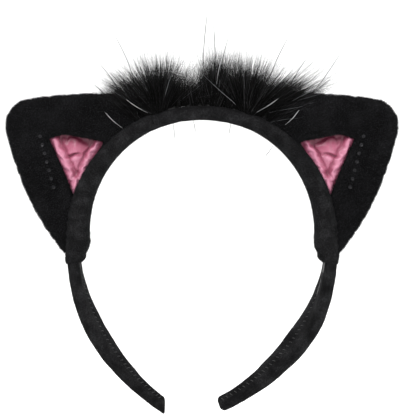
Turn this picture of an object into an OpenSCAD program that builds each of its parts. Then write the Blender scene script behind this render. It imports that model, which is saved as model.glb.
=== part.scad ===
// Animal ears headband: a velvet-covered band with two bendable plush ears and a fur strip.
// Millimetres, +Z up, the wearer faces -Y. The origin is the middle of the round seat on the head.

/* [Head seat] */
// Radius of the round inside face that sits on the head
seat_r = 56.3; // [46:0.1:68]
// Space between that round face and the bare middle of the arch
crown_clear = 0.3; // [0.2:0.1:1.5]
// How far the middle of the band's own arch lies below the middle of the seat
arch_drop = 3.9; // [3:0.1:6]

/* [Band] */
// Width of the covered band, front to back
band_w = 14; // [11:0.5:18]
// Thickness of the covered band
band_t = 6; // [5:0.1:8]
// Corner radius of the covered band's section
band_corner = 2.4; // [2:0.1:2.8]
// Thickness of the velvet round the band
velvet_t = 1; // [0.7:0.1:1.2]
// Thickness of the plastic strip inside the band
core_t = 1.6; // [1.2:0.1:2]
// Space between the strip's edges and the velvet
core_edge_clear = 1.4; // [1:0.1:2]
// Space between one layer and the next
layer_gap = 0.1; // [0.05:0.01:0.15]

/* [Legs] */
// Bend radius of the left leg, to the middle of the band
left_leg_r = 102; // [80:1:140]
// Length of the left leg below the arch
left_leg_len = 97; // [70:1:120]
// Bend radius of the right leg, to the middle of the band
right_leg_r = 93; // [75:1:140]
// Length of the right leg below the arch
right_leg_len = 104; // [70:1:120]
// Turn of the left leg's inside face towards the front, in degrees
left_leg_twist = 24; // [0:1:35]
// Turn of the right leg's inside face towards the front, in degrees
right_leg_twist = 33; // [0:1:35]
// Width of a leg's end as a share of the band's width
tip_width_share = 0.62; // [0.55:0.01:1]
// Thickness of a leg's end as a share of the band's thickness
tip_thickness_share = 0.86; // [0.8:0.01:1]
// Length of the folded velvet tab that closes a leg's end
tip_tab_len = 2.5; // [1:0.5:5]

/* [Flexing crown] */
// Half of the crown piece between the two flex lines, in degrees of the arch
crown_half_angle = 8; // [6:0.5:12]
// Room left at each flex line, measured along the band
flex_gap = 1.4; // [1.2:0.1:2.5]

/* [Ear sleeve] */
// Thickness of the ear's velvet where it wraps round the band
sleeve_t = 0.9; // [0.8:0.1:1.5]
// Angle of the sleeve's upper end above the level of the arch's middle
sleeve_top_angle = 67; // [60:1:70]
// Length of the gathered cuff below the arch
cuff_len = 10; // [5:0.5:16]
// Thickness of the gathered cuff on the band's inside face
cuff_in = 3; // [1.5:0.1:3.6]
// Number of stitches that close the sleeve
sleeve_stitches = 9; // [5:1:14]

/* [Ears] */
// Tilt of the fold line, in degrees from level
fold_tilt = 65; // [55:1:75]
// Height of an ear above its fold line
ear_height = 45.5; // [36:0.5:56]
// Full thickness of a padded ear
ear_t = 11; // [9:0.5:14]
// Shift of the ear's tip along the fold line, towards the crown
tip_shift = 17; // [8:0.5:24]
// Width of the ear's blunt tip
tip_w = 17; // [12:0.5:22]
// Reach of the ear's lower corner along the fold line
base_low = 37; // [33:0.5:39]
// Reach of the ear's upper corner along the fold line
base_up = 51; // [47:0.5:53]
// Depth of both corners behind the fold line
base_sink = 10.7; // [9:0.1:12]
// Swell of the ear's two long edges
edge_bow = 3.5; // [1:0.1:5]
// Thickness of the velvet on the ears
ear_velvet_t = 1.2; // [0.8:0.1:1.6]
// Room between the fold line and the moving part of the ear
fold_room = 2.6; // [2.5:0.1:3.5]
// Space between the fold line and the sleeve below it
fold_clear = 0.5; // [0.4:0.1:1]

/* [Ear lining] */
// Depth of the satin below the ear's front face
satin_depth = 5; // [3:0.5:6]
// Thickness of the satin
satin_t = 0.4; // [0.3:0.1:0.8]
// Thickness of the felt behind the satin
backing_t = 1; // [0.5:0.1:1.5]
// Number of sequins beside each window
sequins = 7; // [4:1:9]
// Radius of a sequin
sequin_r = 1.1; // [0.8:0.1:1.5]

/* [Ear wire] */
// Diameter of the bendable wire in the ear's edge
wire_d = 0.8; // [0.6:0.1:1]
// Space between the wire and the thread ties that it turns in
wire_clear = 0.3; // [0.2:0.05:0.4]
// Distance of the wire from the ear's outline
wire_inset = 3.2; // [2.6:0.1:4]

/* [Fur] */
// Width of the tape that the fur is sewn to
tape_w = 8; // [6:0.5:9]
// Thickness of the tape
tape_t = 0.6; // [0.4:0.1:1]
// Height of the side tufts above the band
side_fur_h = 21; // [14:0.5:26]
// Depth of the fur, front to back
fur_depth = 24; // [16:1:30]
// Height of the middle tuft above the band
crown_fur_h = 35; // [25:0.5:40]

/* [Hidden] */
$fn = 96;

// Arch: concentric layers round the point (0, 0, -arch_drop)
band_r = seat_r + crown_clear + arch_drop;
band_out_r = band_r + band_t;
band_mid_r = band_r + band_t / 2;
gap_angle = flex_gap / 2 / band_mid_r * 180 / PI;
tape_out_r = band_out_r + tape_t;
stitch_h = 0.3;
fur_floor_r = tape_out_r + stitch_h + 0.2;
tape_end_trim = 1.2; // extra room for the tape at a flex line, in degrees
sleeve_out_r = band_out_r + layer_gap + sleeve_t;
sleeve_w = band_w + 2 * (layer_gap + sleeve_t);
sleeve_stock = 8; // depth inside the band that the seat is cut from

// Fold line of an ear, in the ear's own plane: x along the line, y away from the band
tie_at = [-12, 30]; // the two thread ties, along the fold line
tie_w = 1.6;
tie_wall = 0.6;
tie_out_r = wire_d / 2 + wire_clear + tie_wall;
// Far enough out for the sleeve, and for the lower tie to clear it too
fold_dist = max(sleeve_out_r + fold_clear,
    sqrt(pow(sleeve_out_r + tie_out_r + layer_gap, 2) - pow(-tie_at[0] - tie_w / 2, 2)));
half_t = ear_t / 2;
tip_drop = 2; // how far the tip's ends lie below its middle
tip_lower = [tip_shift - tip_w / 2, ear_height - tip_drop];
tip_upper = [tip_shift + tip_w / 2, ear_height - 2 * tip_drop];
corner_low = [-base_low, -base_sink];
corner_up = [base_up, -base_sink];
window = [[-6.5, -4], [22.5, -4], [22, 4], [19, 16.5], [13.5, 21], [-6.5, 2]];
satin_z = half_t - satin_depth;
lobe_from = 9; // where the fixed base lobes start, along the fold line
base_gap = 0.25; // space between the sleeve and the ear's base
far = 200; // longer than anything it cuts

// Leg sweep
arch_rings = 20;
leg_rings = 24;
twist_full_at = 0.6; // share of the leg where the full twist is reached; it starts under the cuff
taper_from = 0.35; // share of the leg where the taper starts

function clamp01(x) = max(0, min(1, x));
function smooth(x) = let (t = clamp01(x)) t * t * (3 - 2 * t);
function mix(a, b, t) = a + (b - a) * t;

// Points on a shallow circular arc from p to q that stands proud by h to the left of the way p to q
function bowed(p, q, h, steps = 8) =
    let (chord = norm(q - p), r = (chord * chord / 4 + h * h) / (2 * h), half = asin(chord / 2 / r),
         along = (q - p) / chord, out = [-along[1], along[0]], mid = (p + q) / 2 + out * (h - r))
    [for (i = [0 : steps - 1]) let (a = mix(-half, half, i / steps)) mid + r * (along * sin(a) + out * cos(a))];

// Outline of a whole ear, base corners included
function ear_outline() = concat(
    bowed(corner_low, tip_lower, edge_bow), bowed(tip_lower, tip_upper, 3, 4),
    bowed(tip_upper, corner_up, edge_bow), [corner_up]);

// Closed route of the ear's wire: along the fold line and round inside the outline
function wire_route() =
    let (low = [-base_low + wire_inset + 6.5, 0], up = [base_up - wire_inset - 3, 0],
         low_tip = tip_lower + [0.9, -1.25] * wire_inset, up_tip = tip_upper + [-0.7, -1] * wire_inset)
    concat([for (i = [0 : 5]) mix(up, low, i / 6)], bowed(low, low_tip, edge_bow * 0.6, 7),
        bowed(low_tip, up_tip, 1.5, 3), bowed(up_tip, up, edge_bow * 0.6, 7));

// Ring of a rounded strip section: x through its thickness, y across its width
function strip_ring(w, t, corner, steps = 3) =
    [for (c = [0 : 3]) let (sx = (c == 0 || c == 3) ? 1 : -1, sy = c < 2 ? 1 : -1)
        for (i = [0 : steps - 1]) let (a = c * 90 + i * 90 / (steps - 1))
            [sx * (t / 2 - corner) + corner * cos(a), sy * (w / 2 - corner) + corner * sin(a)]];
function box_ring(w, t0, t1) = [[t1, w / 2], [t0, w / 2], [t0, -w / 2], [t1, -w / 2]];

// The band's path on the +X side: [point, direction out of the arch, twist, share of the leg]
function arch_station(a) = [[band_mid_r * cos(a), 0, band_mid_r * sin(a) - arch_drop], [cos(a), 0, sin(a)], 0, 0];
function leg_station(side, s) =
    let (leg_r = leg_r_of(side), len = leg_len_of(side), a = s / leg_r * 180 / PI, share = s / len)
    [[band_mid_r - leg_r + leg_r * cos(a), 0, -arch_drop - leg_r * sin(a)], [cos(a), 0, -sin(a)],
     leg_twist_of(side) * smooth((s - cuff_len) / (twist_full_at * len - cuff_len)), share];
function side_stations(side) = concat(
    [for (i = [0 : arch_rings - 1]) arch_station(mix(90 - crown_half_angle - gap_angle, 0, i / arch_rings))],
    [for (i = [0 : leg_rings]) leg_station(side, leg_len_of(side) * i / leg_rings)]);
function width_at(share) = band_w * mix(1, tip_width_share, smooth((share - taper_from) / (1 - taper_from)));
function thickness_at(share) = band_t * mix(1, tip_thickness_share, smooth((share - taper_from) / (1 - taper_from)));

// A section's points placed at a station
function placed(station, ring) =
    let (out = station[1] * cos(station[2]) + [0, 1, 0] * sin(station[2]),
         across = [0, 1, 0] * cos(station[2]) - station[1] * sin(station[2]))
    [for (p = ring) station[0] + out * p[0] + across * p[1]];

function flat(list) = [for (part = list) for (item = part) item];
// Two triangles for each side of each step between rings of n points
function skin(rings, n, first = 0) = flat([for (i = [0 : rings - 2]) for (j = [0 : n - 1])
    let (a = first + i * n + j, b = first + i * n + (j + 1) % n) [[a, b, b + n], [a, b + n, a + n]]]);
function turned(faces) = [for (f = faces) [f[2], f[1], f[0]]];

module solid_sweep(rings) {
    n = len(rings[0]);
    count = len(rings);
    ends = [[for (j = [n - 1 : -1 : 0]) j], [for (j = [0 : n - 1]) (count - 1) * n + j]];
    polyhedron(flat(rings), concat(skin(count, n), ends), convexity = 10);
}

module tube_sweep(outer, inner) {
    n = len(outer[0]);
    count = len(outer);
    base = count * n;
    last = (count - 1) * n;
    first_end = flat([for (j = [0 : n - 1]) let (k = (j + 1) % n)
        [[j, base + k, k], [j, base + j, base + k]]]);
    last_end = flat([for (j = [0 : n - 1]) let (k = (j + 1) % n)
        [[last + j, last + k, base + last + k], [last + j, base + last + k, base + last + j]]]);
    polyhedron(concat(flat(outer), flat(inner)),
        concat(skin(count, n), turned(skin(count, n, base)), first_end, last_end), convexity = 10);
}

// Places the children's 2D section on the arch, from angle a0 to a1 above level on the +X side
module arch(a0, a1) {
    translate([0, 0, -arch_drop]) rotate([90, 0, 0]) rotate([0, 0, a0]) rotate_extrude(angle = a1 - a0) children();
}

// The same round the middle of a leg's bend, downwards from the side of the arch
module leg_arc(leg_r, length) {
    a = length / leg_r * 180 / PI;
    translate([band_mid_r - leg_r, 0, -arch_drop]) rotate([90, 0, 0]) rotate([0, 0, -a])
        rotate_extrude(angle = a) children();
}

module rounded_section(r0, r1, w, corner) {
    t = r1 - r0;
    translate([(r0 + r1) / 2, 0]) {
        square([t - 2 * corner, w], center = true);
        square([t, w - 2 * corner], center = true);
        for (x = [-1, 1]) for (y = [-1, 1])
            translate([x * (t / 2 - corner), y * (w / 2 - corner)]) circle(corner);
    }
}

// Left-hand pieces are the right-hand ones mirrored, with the left leg's own sizes
module on_side(side) {
    if (side == "left") mirror([1, 0, 0]) children();
    else children();
}

// An ear's own plane on the +X side: x along the fold line, y outwards, z to the front
module ear_plane() {
    mirror([1, 0, 0]) translate([0, 0, -arch_drop]) rotate([0, -fold_tilt, 0]) rotate([90, 0, 0])
        translate([0, fold_dist, 0]) children();
}

module moving_outline(inset) {
    intersection() {
        offset(delta = -inset) polygon(ear_outline());
        translate([-far / 2, fold_room]) square(far);
    }
}

function leg_r_of(side) = side == "left" ? left_leg_r : right_leg_r;
function leg_len_of(side) = side == "left" ? left_leg_len : right_leg_len;
function leg_twist_of(side) = side == "left" ? left_leg_twist : right_leg_twist;

// ---- crown ----
core_w = band_w - 2 * (velvet_t + core_edge_clear);
core_r0 = band_r + velvet_t + layer_gap;
foam_r0 = core_r0 + core_t + layer_gap;
foam_r1 = band_out_r - velvet_t - layer_gap;
crown_from = 90 - crown_half_angle + gap_angle;
crown_to = 90 + crown_half_angle - gap_angle;

module crown_core() {
    color("dimgray") arch(crown_from, crown_to) translate([core_r0, -core_w / 2]) square([core_t, core_w]);
}

module crown_foam() {
    color("gainsboro") arch(crown_from, crown_to)
        translate([foam_r0, -core_w / 2]) square([foam_r1 - foam_r0, core_w]);
}

module crown_velvet() {
    color([0.05, 0.05, 0.06]) arch(crown_from, crown_to) difference() {
        rounded_section(band_r, band_out_r, band_w, band_corner);
        rounded_section(band_r + velvet_t, band_out_r - velvet_t, band_w - 2 * velvet_t, band_corner - velvet_t);
    }
}

module tape(a0, a1) {
    color([0.08, 0.08, 0.08]) arch(a0, a1) translate([band_out_r, -tape_w / 2]) square([tape_t, tape_w]);
}

// Stitches along both edges of the tape
module tape_stitch_rows(a0, a1, count) {
    stitch_angle = 1.6;
    edge = tape_w / 2 - 0.6;
    color([0.15, 0.15, 0.15]) for (i = [0 : count - 1]) for (y = [-edge, edge])
        let (a = mix(a0 + 0.5, a1 - 0.5 - stitch_angle, i / (count - 1)))
            arch(a, a + stitch_angle) translate([tape_out_r, y - 0.2]) square([stitch_h, 0.4]);
}

module crown_fur_tape() {
    tape(crown_from + tape_end_trim, crown_to - tape_end_trim);
}

module crown_tape_stitches() {
    tape_stitch_rows(crown_from + tape_end_trim, crown_to - tape_end_trim, 5);
}

module tuft_ball(x, h, r) {
    translate([x, 0, band_out_r - arch_drop + h]) sphere(r, $fn = 24);
}

// Slim middle tuft with its longest strands
module crown_fur() {
    color([0.06, 0.06, 0.07]) difference() {
        hull() {
            tuft_ball(1, 5, 5.2);
            tuft_ball(0.6, crown_fur_h * 0.55, 3);
            tuft_ball(1.5, crown_fur_h - 1.5, 1.5);
        }
        fur_floor();
    }
}

module fur_floor() {
    translate([0, 0, -arch_drop]) rotate([90, 0, 0]) cylinder(r = fur_floor_r, h = far, center = true);
}

// ---- one side of the band ----
module side_core(side) {
    stations = side_stations(side);
    color("dimgray") on_side(side) solid_sweep([for (s = stations)
        let (w = width_at(s[3]) - 2 * (velvet_t + core_edge_clear), t0 = velvet_t + layer_gap - thickness_at(s[3]) / 2)
        placed(s, box_ring(w, t0, t0 + core_t))]);
}

module side_foam(side) {
    stations = side_stations(side);
    color("gainsboro") on_side(side) solid_sweep([for (s = stations)
        let (w = width_at(s[3]) - 2 * (velvet_t + core_edge_clear), half = thickness_at(s[3]) / 2 - velvet_t - layer_gap)
        placed(s, box_ring(w, core_t + layer_gap - half, half))]);
}

module side_velvet(side) {
    stations = side_stations(side);
    color([0.05, 0.05, 0.06]) on_side(side) tube_sweep(
        [for (s = stations) placed(s, strip_ring(width_at(s[3]), thickness_at(s[3]), band_corner))],
        [for (s = stations) placed(s, strip_ring(width_at(s[3]) - 2 * velvet_t,
            thickness_at(s[3]) - 2 * velvet_t, band_corner - velvet_t))]);
}

// Velvet folded over the end of the strip
module side_tip_tab(side) {
    w = width_at(1);
    t = thickness_at(1);
    color([0.07, 0.07, 0.08]) on_side(side) solid_sweep([for (i = [0 : 3])
        let (s = leg_len_of(side) + tip_tab_len * i / 3, k = 1 - 0.18 * pow(i / 3, 2), station = leg_station(side, s))
        placed(station, strip_ring(w * k, t * k, band_corner * 0.9))]);
}

// ---- fur on one side ----
side_tape_from = 90 - crown_half_angle - gap_angle - tape_end_trim;

module side_fur_tape(side) {
    on_side(side) tape(sleeve_top_angle + 0.5, side_tape_from);
}

module side_tape_stitches(side) {
    on_side(side) tape_stitch_rows(sleeve_top_angle + 0.5, side_tape_from, 4);
}

module side_fur(side) {
    color([0.06, 0.06, 0.07]) on_side(side) difference() {
        hull() {
            for (y = [-1, 1]) translate([0, y * (fur_depth / 2 - 7), 0]) tuft_ball(19.5, side_fur_h * 0.45, 7);
            tuft_ball(17.5, 4, 6);
            tuft_ball(21, side_fur_h - 6.5, 6.5);
            tuft_ball(31, side_fur_h - 9.5, 6.5);
            for (y = [-1, 1]) translate([0, y * (fur_depth / 2 - 6), 0]) tuft_ball(33, side_fur_h * 0.3, 6);
        }
        fur_floor();
        ear_plane() translate([0, 0, -half_t - layer_gap]) linear_extrude(ear_t + 2 * layer_gap)
            offset(delta = layer_gap) lobe_outline(0);
        sleeve_stock_ring(layer_gap);
    }
}

// ---- ear sleeve and base, fixed to the band ----
module sleeve_stock_ring(grow) {
    arch(0, sleeve_top_angle + grow) rounded_section(band_r - sleeve_stock, sleeve_out_r + grow,
        sleeve_w + 2 * grow, band_corner + 1);
}

// How much further out than the arch's own circle the cuff runs, at the depth of the ear's lower corner
function sag(r, d) = r - sqrt(r * r - d * d);
function cuff_swing(leg_r) =
    let (d = base_low * sin(fold_tilt) - (fold_dist - base_sink) * cos(fold_tilt))
    max(0, sag(sleeve_out_r, d) - sag(leg_r + sleeve_out_r - band_mid_r, d));

// The two lobes between the sleeve and the fold line
module lobe_outline(gap) {
    difference() {
        intersection() {
            polygon(ear_outline());
            union() {
                translate([lobe_from, -far - fold_clear]) square([far, far]);
                translate([-lobe_from - far, -far - fold_clear]) square([far, far]);
            }
        }
        translate([0, -fold_dist]) circle(sleeve_out_r + gap);
    }
}

module side_ear_sleeve(side) {
    color([0.05, 0.05, 0.06]) on_side(side) difference() {
        arch(0, sleeve_top_angle) sleeve_section(band_mid_r, sleeve_stock);
        rotate([90, 0, 0]) cylinder(r = seat_r, h = far, center = true);
    }
}

// The sleeve's gathered lower end, round the top of the leg
module side_sleeve_cuff(side) {
    leg_r = leg_r_of(side);
    color([0.05, 0.05, 0.06]) on_side(side) leg_arc(leg_r, cuff_len) sleeve_section(leg_r, layer_gap + cuff_in);
}

// Fixed base of the ear between the sleeve and the fold line, with a notch for each thread tie
module side_ear_base(side) {
    color([0.05, 0.05, 0.06]) on_side(side) ear_plane() difference() {
        translate([0, 0, -half_t]) linear_extrude(ear_t) lobe_outline(base_gap + cuff_swing(leg_r_of(side)));
        for (u = tie_at)
            translate([u - tie_w / 2 - layer_gap, -tie_out_r - layer_gap, -tie_out_r - layer_gap])
                cube([tie_w + 2 * layer_gap, far / 10, 2 * (tie_out_r + layer_gap)]);
    }
}

// Section of the sleeve round the band's channel, for a bend of that radius, with its depth on the inside
module sleeve_section(mid_r, inside) {
    difference() {
        rounded_section(mid_r - band_t / 2 - inside, mid_r + band_t / 2 + layer_gap + sleeve_t,
            sleeve_w, band_corner + 1);
        rounded_section(mid_r - band_t / 2 - layer_gap, mid_r + band_t / 2 + layer_gap,
            band_w + 2 * layer_gap, band_corner + layer_gap);
    }
}

// Thread ties that hold the wire's base along the fold line
module side_wire_ties(side) {
    r = wire_d / 2 + wire_clear;
    color([0.15, 0.15, 0.15]) on_side(side) ear_plane() for (u = tie_at)
        translate([u, 0, 0]) rotate([0, 90, 0]) difference() {
            cylinder(r = tie_out_r, h = tie_w, center = true);
            cylinder(r = r, h = tie_w + 1, center = true);
        }
}

// Whip stitches that close the sleeve at the back
module side_sleeve_stitches(side) {
    stitch_angle = 0.5;
    color([0.15, 0.15, 0.15]) on_side(side) for (i = [0 : sleeve_stitches - 1])
        let (a = mix(6, sleeve_top_angle - 8, i / (sleeve_stitches - 1)))
            arch(a, a + stitch_angle) translate([band_r + 1.5, -sleeve_w / 2 - stitch_h]) square([3, stitch_h]);
}

// ---- the moving part of an ear ----
// Rounded edge built up in steps: [bottom, top, inset of the outline]
edge_step = 0.8;
edge_wide = half_t - 2.5; // up to here the edge has the full outline
edge_top = half_t - ear_velvet_t + 0.2; // from here up it is solid velvet
edge_steps = [[0, edge_wide, 0], [edge_wide, edge_top, edge_step], [edge_top, half_t, ear_velvet_t + 1]];
pocket_steps = [[0, edge_wide, ear_velvet_t], [edge_wide, half_t - ear_velvet_t, edge_step + ear_velvet_t]];

module stack(steps) {
    for (s = steps) translate([0, 0, s[0]]) linear_extrude(s[1] - s[0]) moving_outline(s[2]);
}

module window_prism(grow, z0, z1) {
    translate([0, 0, z0]) linear_extrude(z1 - z0) offset(delta = grow) polygon(window);
}

module side_ear_front(side) {
    color([0.05, 0.05, 0.06]) on_side(side) ear_plane() difference() {
        stack(edge_steps);
        difference() {
            translate([0, 0, -1]) linear_extrude(1 + pocket_steps[0][1]) moving_outline(pocket_steps[0][2]);
            window_prism(ear_velvet_t, satin_z, far);
        }
        difference() {
            translate([0, 0, pocket_steps[1][0]]) linear_extrude(pocket_steps[1][1] - pocket_steps[1][0])
                moving_outline(pocket_steps[1][2]);
            window_prism(ear_velvet_t, satin_z, far);
        }
        window_prism(0, -1, far);
    }
}

module side_ear_back(side) {
    color([0.05, 0.05, 0.06]) on_side(side) ear_plane() mirror([0, 0, 1]) difference() {
        stack(edge_steps);
        translate([0, 0, -1]) linear_extrude(1 + pocket_steps[0][1]) moving_outline(pocket_steps[0][2]);
        translate([0, 0, pocket_steps[1][0]]) linear_extrude(pocket_steps[1][1] - pocket_steps[1][0])
            moving_outline(pocket_steps[1][2]);
    }
}

// Polyester stuffing between the two faces, hollowed for the lining
module side_ear_stuffing(side) {
    inset = ear_velvet_t + layer_gap;
    edge_channel = wire_inset + wire_d / 2 + 0.8;
    wire_room = 0.4; // between the wire and the stuffing inside its loop
    top = half_t - inset;
    color("whitesmoke") on_side(side) ear_plane() difference() {
        translate([0, 0, -top]) linear_extrude(2 * top) intersection() {
            moving_outline(edge_channel);
            offset(delta = -wire_d / 2 - wire_room) polygon(wire_route());
        }
        window_prism(backing_grow + layer_gap, satin_z - satin_t - backing_t - layer_gap, far);
    }
}

backing_grow = 3;

module side_satin(side) {
    color([0.78, 0.43, 0.55]) on_side(side) ear_plane() intersection() {
        window_prism(ear_velvet_t, satin_z - satin_t, satin_z);
        linear_extrude(far, center = true) moving_outline(0);
    }
}

module side_satin_backing(side) {
    color([0.2, 0.2, 0.2]) on_side(side) ear_plane() intersection() {
        window_prism(backing_grow, satin_z - satin_t - backing_t, satin_z - satin_t);
        linear_extrude(far, center = true) moving_outline(0);
    }
}

// A row of small black sequins beside the window
module side_sequins(side) {
    first = [13.1, 25.8];
    last = [-6.9, 9.5];
    color([0.1, 0.1, 0.12]) on_side(side) ear_plane() for (i = [0 : sequins - 1])
        translate(concat(mix(first, last, i / (sequins - 1)), [half_t])) cylinder(r = sequin_r, h = 0.4);
}

// Bendable wire loop: its base is the line that the ear folds about
module side_ear_wire(side) {
    route = wire_route();
    n = len(route);
    sides = 8;
    rings = [for (i = [0 : n - 1])
        let (before = route[(i + n - 1) % n], next = route[(i + 1) % n], d = (next - before) / norm(next - before))
        [for (j = [0 : sides - 1]) let (a = 360 * j / sides, r = wire_d / 2)
            [route[i][0] - d[1] * r * cos(a), route[i][1] + d[0] * r * cos(a), r * sin(a)]]];
    faces = flat([for (i = [0 : n - 1]) for (j = [0 : sides - 1])
        let (a = i * sides + j, b = i * sides + (j + 1) % sides, c = ((i + 1) % n) * sides + (j + 1) % sides,
             d = ((i + 1) % n) * sides + j)
        [[a, b, c], [a, c, d]]]);
    color("silver") on_side(side) ear_plane() polyhedron(flat(rings), faces, convexity = 10);
}

crown_core();
crown_foam();
crown_velvet();
crown_fur_tape();
crown_tape_stitches();
crown_fur();
for (side = ["left", "right"]) {
    side_core(side);
    side_foam(side);
    side_velvet(side);
    side_tip_tab(side);
    side_fur_tape(side);
    side_tape_stitches(side);
    side_fur(side);
    side_ear_sleeve(side);
    side_sleeve_cuff(side);
    side_ear_base(side);
    side_wire_ties(side);
    side_sleeve_stitches(side);
    side_ear_front(side);
    side_ear_back(side);
    side_ear_stuffing(side);
    side_ear_wire(side);
    side_satin(side);
    side_satin_backing(side);
    side_sequins(side);
}
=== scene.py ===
import math
import random

import bmesh
import bpy
import numpy as np
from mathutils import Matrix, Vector, noise
from mathutils.geometry import delaunay_2d_cdt


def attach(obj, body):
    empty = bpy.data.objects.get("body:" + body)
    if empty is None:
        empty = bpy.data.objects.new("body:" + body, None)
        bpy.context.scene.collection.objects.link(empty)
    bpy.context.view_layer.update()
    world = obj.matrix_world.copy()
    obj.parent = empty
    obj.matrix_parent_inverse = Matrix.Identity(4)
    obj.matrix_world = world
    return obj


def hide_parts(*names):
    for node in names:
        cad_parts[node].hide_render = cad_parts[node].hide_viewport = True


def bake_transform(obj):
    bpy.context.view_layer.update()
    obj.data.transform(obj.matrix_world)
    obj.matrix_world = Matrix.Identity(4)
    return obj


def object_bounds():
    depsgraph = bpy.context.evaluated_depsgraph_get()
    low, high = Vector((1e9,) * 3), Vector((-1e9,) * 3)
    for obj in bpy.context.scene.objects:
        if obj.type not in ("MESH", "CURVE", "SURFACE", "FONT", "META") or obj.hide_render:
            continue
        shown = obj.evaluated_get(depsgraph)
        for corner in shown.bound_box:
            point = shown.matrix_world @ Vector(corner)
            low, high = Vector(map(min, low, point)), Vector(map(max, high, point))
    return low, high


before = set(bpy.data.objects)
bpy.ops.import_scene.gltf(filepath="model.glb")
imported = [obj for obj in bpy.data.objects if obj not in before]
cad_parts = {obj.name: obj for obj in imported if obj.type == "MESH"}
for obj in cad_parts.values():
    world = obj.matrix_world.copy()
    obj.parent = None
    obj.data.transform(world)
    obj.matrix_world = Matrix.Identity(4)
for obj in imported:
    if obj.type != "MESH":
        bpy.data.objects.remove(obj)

cadLow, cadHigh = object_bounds()
mm = 0.001
sideSign = {"left": -1, "right": 1}
scene = bpy.context.scene


view = {
    "target": (0.0040, 0.0, 0.0108),
    "distance": 0.68,
    "elevation": 5.0,
    "widthAtTarget": 0.2090,
    "sensor": 36.0,
}
stage = {
    "floorBelow": 0.05,
    "halfWidth": 3.0,
    "front": -3.0,
    "back": 1.6,
    "sweep": 0.9,
    "wallTop": 3.2,
    "colour": (0.93, 0.93, 0.93, 1),
    "worldStrength": 0.85,
}
lights = [  # name, place, size in metres, watts
    ("keyLight", (-0.55, -0.75, 0.95), 0.7, 13.0),
    ("fillLight", (0.8, -0.7, 0.35), 0.9, 5.0),
    ("topLight", (0.1, 0.25, 1.1), 0.8, 8.0),
]


def aimed(obj, place, target):
    obj.location = place
    obj.rotation_euler = (Vector(target) - Vector(place)).to_track_quat("-Z", "Y").to_euler()


def makeCamera():
    camera = bpy.data.objects.new("camera", bpy.data.cameras.new("camera"))
    scene.collection.objects.link(camera)
    tilt = math.radians(view["elevation"])
    away = Vector((0, -math.cos(tilt), math.sin(tilt))) * view["distance"]
    aimed(camera, Vector(view["target"]) + away, view["target"])
    camera.data.sensor_width = view["sensor"]
    camera.data.lens = view["sensor"] * view["distance"] / view["widthAtTarget"]
    camera.data.clip_start = 0.01
    scene.camera = camera


def makeStage():
    floorZ = cadLow.z - stage["floorBelow"]
    profile = [(stage["front"], floorZ), (stage["back"] - stage["sweep"], floorZ)]
    for step in range(1, 13):
        turn = math.pi / 2 * step / 12
        profile.append((stage["back"] - stage["sweep"] + stage["sweep"] * math.sin(turn),
                        floorZ + stage["sweep"] * (1 - math.cos(turn))))
    profile.append((stage["back"], stage["wallTop"]))
    half = stage["halfWidth"]
    points = [(x, y, z) for y, z in profile for x in (-half, half)]
    faces = [(2 * i, 2 * i + 1, 2 * i + 3, 2 * i + 2) for i in range(len(profile) - 1)]
    mesh = bpy.data.meshes.new("paleFloor")
    mesh.from_pydata(points, [], faces)
    floor = bpy.data.objects.new("paleFloor", mesh)
    scene.collection.objects.link(floor)
    for face in mesh.polygons:
        face.use_smooth = True
    paint = bpy.data.materials.new("palePaper")
    paint.use_nodes = True
    shader = paint.node_tree.nodes["Principled BSDF"]
    shader.inputs["Base Color"].default_value = stage["colour"]
    shader.inputs["Roughness"].default_value = 0.95
    shader.inputs["Specular IOR Level"].default_value = 0.1
    mesh.materials.append(paint)


def makeLights():
    for name, place, size, power in lights:
        lamp = bpy.data.lights.new(name, "AREA")
        lamp.shape = "DISK"
        lamp.size = size
        lamp.energy = power
        obj = bpy.data.objects.new(name, lamp)
        scene.collection.objects.link(obj)
        aimed(obj, place, (0, 0, 0.02))
    world = bpy.data.worlds.new("softRoom")
    scene.world = world
    world.use_nodes = True
    sky = world.node_tree.nodes["Background"]
    sky.inputs["Color"].default_value = (1, 1, 1, 1)
    sky.inputs["Strength"].default_value = stage["worldStrength"]
    scene.view_settings.view_transform = "Standard"


makeCamera()
makeStage()
makeLights()
print("stage ready")



def shaderNode(tree, kind, place=(0, 0), **values):
    node = tree.nodes.new(kind)
    node.location = place
    for key, value in values.items():
        if hasattr(node, key):
            setattr(node, key, value)
        else:
            node.inputs[key].default_value = value
    return node


def blankMaterial(name):
    material = bpy.data.materials.new(name)
    material.use_nodes = True
    tree = material.node_tree
    return material, tree, tree.nodes["Principled BSDF"]


def setInputs(node, **values):
    for key, value in values.items():
        node.inputs[key.replace("_", " ")].default_value = value


def mixed(a, b, t):
    return tuple(x + (y - x) * t for x, y in zip(a, b))


def ramp(tree, source, stops, place=(0, 0)):
    node = shaderNode(tree, "ShaderNodeValToRGB", place)
    while len(node.color_ramp.elements) < len(stops):
        node.color_ramp.elements.new(0.5)
    for element, (at, colour) in zip(node.color_ramp.elements, stops):
        element.position = at
        element.color = (*colour, 1)
    tree.links.new(source, node.inputs["Fac"])
    return node


def objectNoise(tree, scale, detail=3.0, roughness=0.55, place=(-900, 0)):
    coords = shaderNode(tree, "ShaderNodeTexCoord", (place[0] - 200, place[1]))
    node = shaderNode(tree, "ShaderNodeTexNoise", place, Scale=scale, Detail=detail, Roughness=roughness)
    tree.links.new(coords.outputs["Object"], node.inputs["Vector"])
    return node


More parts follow.
